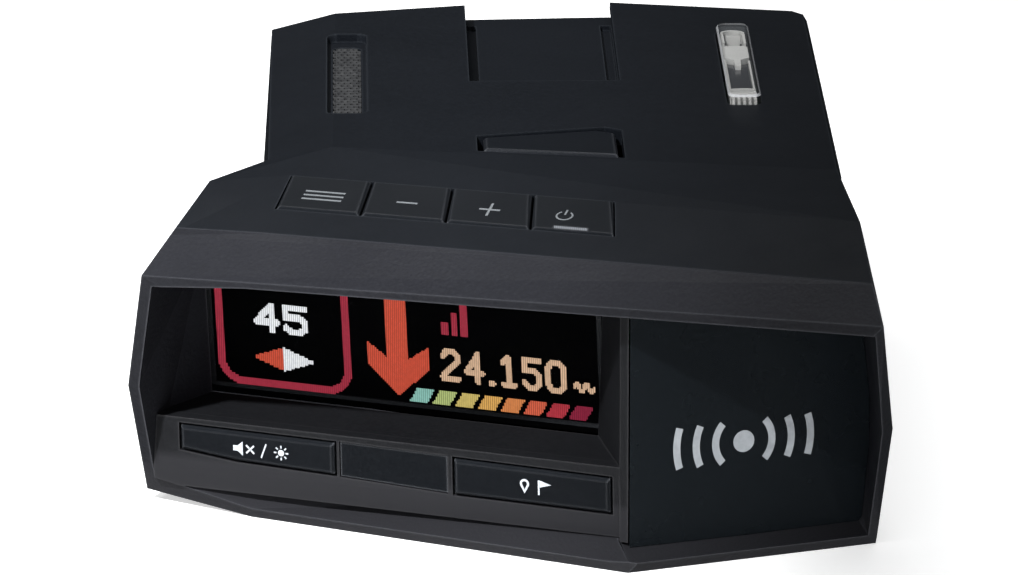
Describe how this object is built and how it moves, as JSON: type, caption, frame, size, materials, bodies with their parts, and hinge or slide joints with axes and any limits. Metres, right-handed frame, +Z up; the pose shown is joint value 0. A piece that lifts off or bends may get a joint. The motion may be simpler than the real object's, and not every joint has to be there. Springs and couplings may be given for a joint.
{
  "type": "radar detector",
  "caption": "Windscreen radar detector: wedge-shaped dark case, hooded front with slanted colour display, push keys, bracket slot and clear laser lens on top.",
  "frame": {"origin": "bottom centre of the object's box, on the surface it stands on", "axes": "+Z up; the display and front keys face -Y (towards the driver); +Y points through the windscreen; +X is to the right as seen from the driver's side"},
  "size_m": [0.08, 0.11, 0.0378],
  "materials": {
    "upper_case": "fine grain, nearly matt",
    "lower_case": "fine grain, matt",
    "front_bezel": "coarser grain, satin",
    "display_shroud": "satin",
    "side_panel": "smooth satin",
    "display_window": "smoked, glossy",
    "display_panel": "black display glass",
    "display_holder": "matt",
    "display_flex": "amber film",
    "centre_plate": "satin",
    "mute_key": "satin, worn edges",
    "mark_key": "satin, worn edges",
    "front_key_board": "solder mask",
    "front_key_switches": "satin",
    "menu_key": "satin, bright bevel",
    "minus_key": "satin, bright bevel",
    "plus_key": "satin, bright bevel",
    "power_key": "satin, bright bevel",
    "power_light_bar": "translucent white",
    "top_key_board": "solder mask",
    "top_key_switches": "satin",
    "release_button": "fine grain",
    "release_latch": "smooth",
    "release_spring": "drawn wire",
    "spring_post": "smooth",
    "speaker_mesh": "black, fine holes",
    "speaker_gasket": "foam",
    "speaker_driver": "grey frame",
    "laser_lens": "clear moulded plastic",
    "laser_sensor": "dark epoxy",
    "laser_board": "solder mask",
    "nose_window": "very dark red, glossy",
    "main_board": "solder mask",
    "shield_can": "tinned",
    "forward_horn": "cast",
    "rearward_horn": "cast",
    "gps_antenna": "fired ceramic with silver patch",
    "power_jack": "black",
    "audio_jack": "black",
    "usb_port": "bright shell",
    "case_screws": "black oxide",
    "board_screws": "zinc",
    "rating_label": "silver film"
  },
  "bodies": {
    "case": {"upper_case": "upper_case", "lower_case": "lower_case", "front_bezel": "front_bezel", "display_shroud": "display_shroud", "side_panel": "side_panel", "display_window": "display_window", "display_panel": "display_panel", "display_holder": "display_holder", "display_flex": "display_flex", "centre_plate": "centre_plate", "front_key_board": "front_key_board", "front_key_switches": "front_key_switches", "top_key_board": "top_key_board", "top_key_switches": "top_key_switches", "release_spring": "release_spring", "spring_post": "spring_post", "speaker_mesh": "speaker_mesh", "speaker_gasket": "speaker_gasket", "speaker_driver": "speaker_driver", "laser_lens": "laser_lens", "laser_sensor": "laser_sensor", "laser_board": "laser_board", "nose_window": "nose_window", "main_board": "main_board", "shield_can": "shield_can", "forward_horn": "forward_horn", "rearward_horn": "rearward_horn", "gps_antenna": "gps_antenna", "power_jack": "power_jack", "audio_jack": "audio_jack", "usb_port": "usb_port", "case_screws": "case_screws", "board_screws": "board_screws", "rating_label": "rating_label"},
    "menu_key": {"menu_key": "menu_key"},
    "minus_key": {"minus_key": "minus_key"},
    "plus_key": {"plus_key": "plus_key"},
    "power_key": {"power_key": "power_key", "power_light_bar": "power_light_bar"},
    "mute_key": {"mute_key": "mute_key"},
    "mark_key": {"mark_key": "mark_key"},
    "release": {"release_button": "release_button", "release_latch": "release_latch"}
  },
  "joints": [
    {"name": "menu_press", "type": "slide", "parent": "case", "child": "menu_key", "axis": [0.0748, 0.2328, -0.9696], "range_m": [0, 0.0006], "stiffness_N_per_m": 1500, "springref_m": -0.0008},
    {"name": "minus_press", "type": "slide", "parent": "case", "child": "minus_key", "axis": [0.0748, 0.2328, -0.9696], "range_m": [0, 0.0006], "stiffness_N_per_m": 1500, "springref_m": -0.0008},
    {"name": "plus_press", "type": "slide", "parent": "case", "child": "plus_key", "axis": [0.0748, 0.2328, -0.9696], "range_m": [0, 0.0006], "stiffness_N_per_m": 1500, "springref_m": -0.0008},
    {"name": "power_press", "type": "slide", "parent": "case", "child": "power_key", "axis": [0.0748, 0.2328, -0.9696], "range_m": [0, 0.0006], "stiffness_N_per_m": 1500, "springref_m": -0.0008},
    {"name": "mute_press", "type": "slide", "parent": "case", "child": "mute_key", "axis": [0.3741, 0.9259, 0.0523], "range_m": [0, 0.0006], "stiffness_N_per_m": 1500, "springref_m": -0.0008},
    {"name": "mark_press", "type": "slide", "parent": "case", "child": "mark_key", "axis": [0.3741, 0.9259, 0.0523], "range_m": [0, 0.0006], "stiffness_N_per_m": 1500, "springref_m": -0.0008},
    {"name": "release_press", "type": "slide", "parent": "case", "child": "release", "axis": [0, 0, -1], "range_m": [0, 0.0015], "stiffness_N_per_m": 900, "springref_m": -0.001, "deforming": ["release_spring"]}
  ]
}
